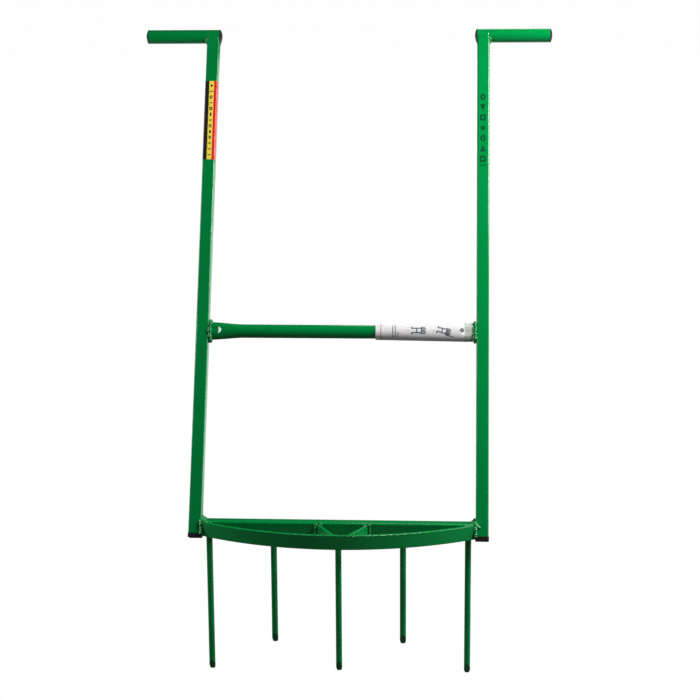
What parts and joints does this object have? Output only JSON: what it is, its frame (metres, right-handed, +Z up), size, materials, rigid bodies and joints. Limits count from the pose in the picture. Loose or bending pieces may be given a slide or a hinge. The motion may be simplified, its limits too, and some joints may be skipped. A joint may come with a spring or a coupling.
{
  "type": "broadfork",
  "caption": "Welded garden broadfork: square tube arms with round handles lean back from a D-shaped foot frame carrying a row of round chisel-tipped tines, for loosening soil by levering.",
  "frame": {"origin": "middle of the foot bar's top face, where the boot pushes", "axes": "+Z up along the tines, +Y level towards the side the arms lean to, where the user stands, +X to the right when looking along +Y"},
  "size_m": [0.832, 0.512, 1.2278],
  "materials": {
    "green_paint": "glossy powder coat",
    "black_plastic": "satin moulded polyethylene",
    "label_film": "printed white film",
    "decal_film": "printed vinyl",
    "mark_vinyl": "cut vinyl"
  },
  "bodies": {
    "root": {"arm_decal": "decal_film", "arm_marks": "mark_vinyl", "bow": "green_paint", "crossbar": "green_paint", "foot_bar": "green_paint", "label_sleeve": "label_film", "left_arm": "green_paint", "left_base_weld": "green_paint", "left_crossbar_weld": "green_paint", "left_foot_plug": "black_plastic", "left_handle": "green_paint", "left_handle_inner_plug": "black_plastic", "left_handle_outer_plug": "black_plastic", "left_handle_weld": "green_paint", "left_strut": "green_paint", "right_arm": "green_paint", "right_base_weld": "green_paint", "right_crossbar_weld": "green_paint", "right_foot_plug": "black_plastic", "right_handle": "green_paint", "right_handle_inner_plug": "black_plastic", "right_handle_outer_plug": "black_plastic", "right_handle_weld": "green_paint", "right_strut": "green_paint", "strut_welds": "green_paint", "tine_1": "green_paint", "tine_2": "green_paint", "tine_3": "green_paint", "tine_4": "green_paint", "tine_5": "green_paint", "tine_welds": "green_paint"}
  },
  "joints": []
}
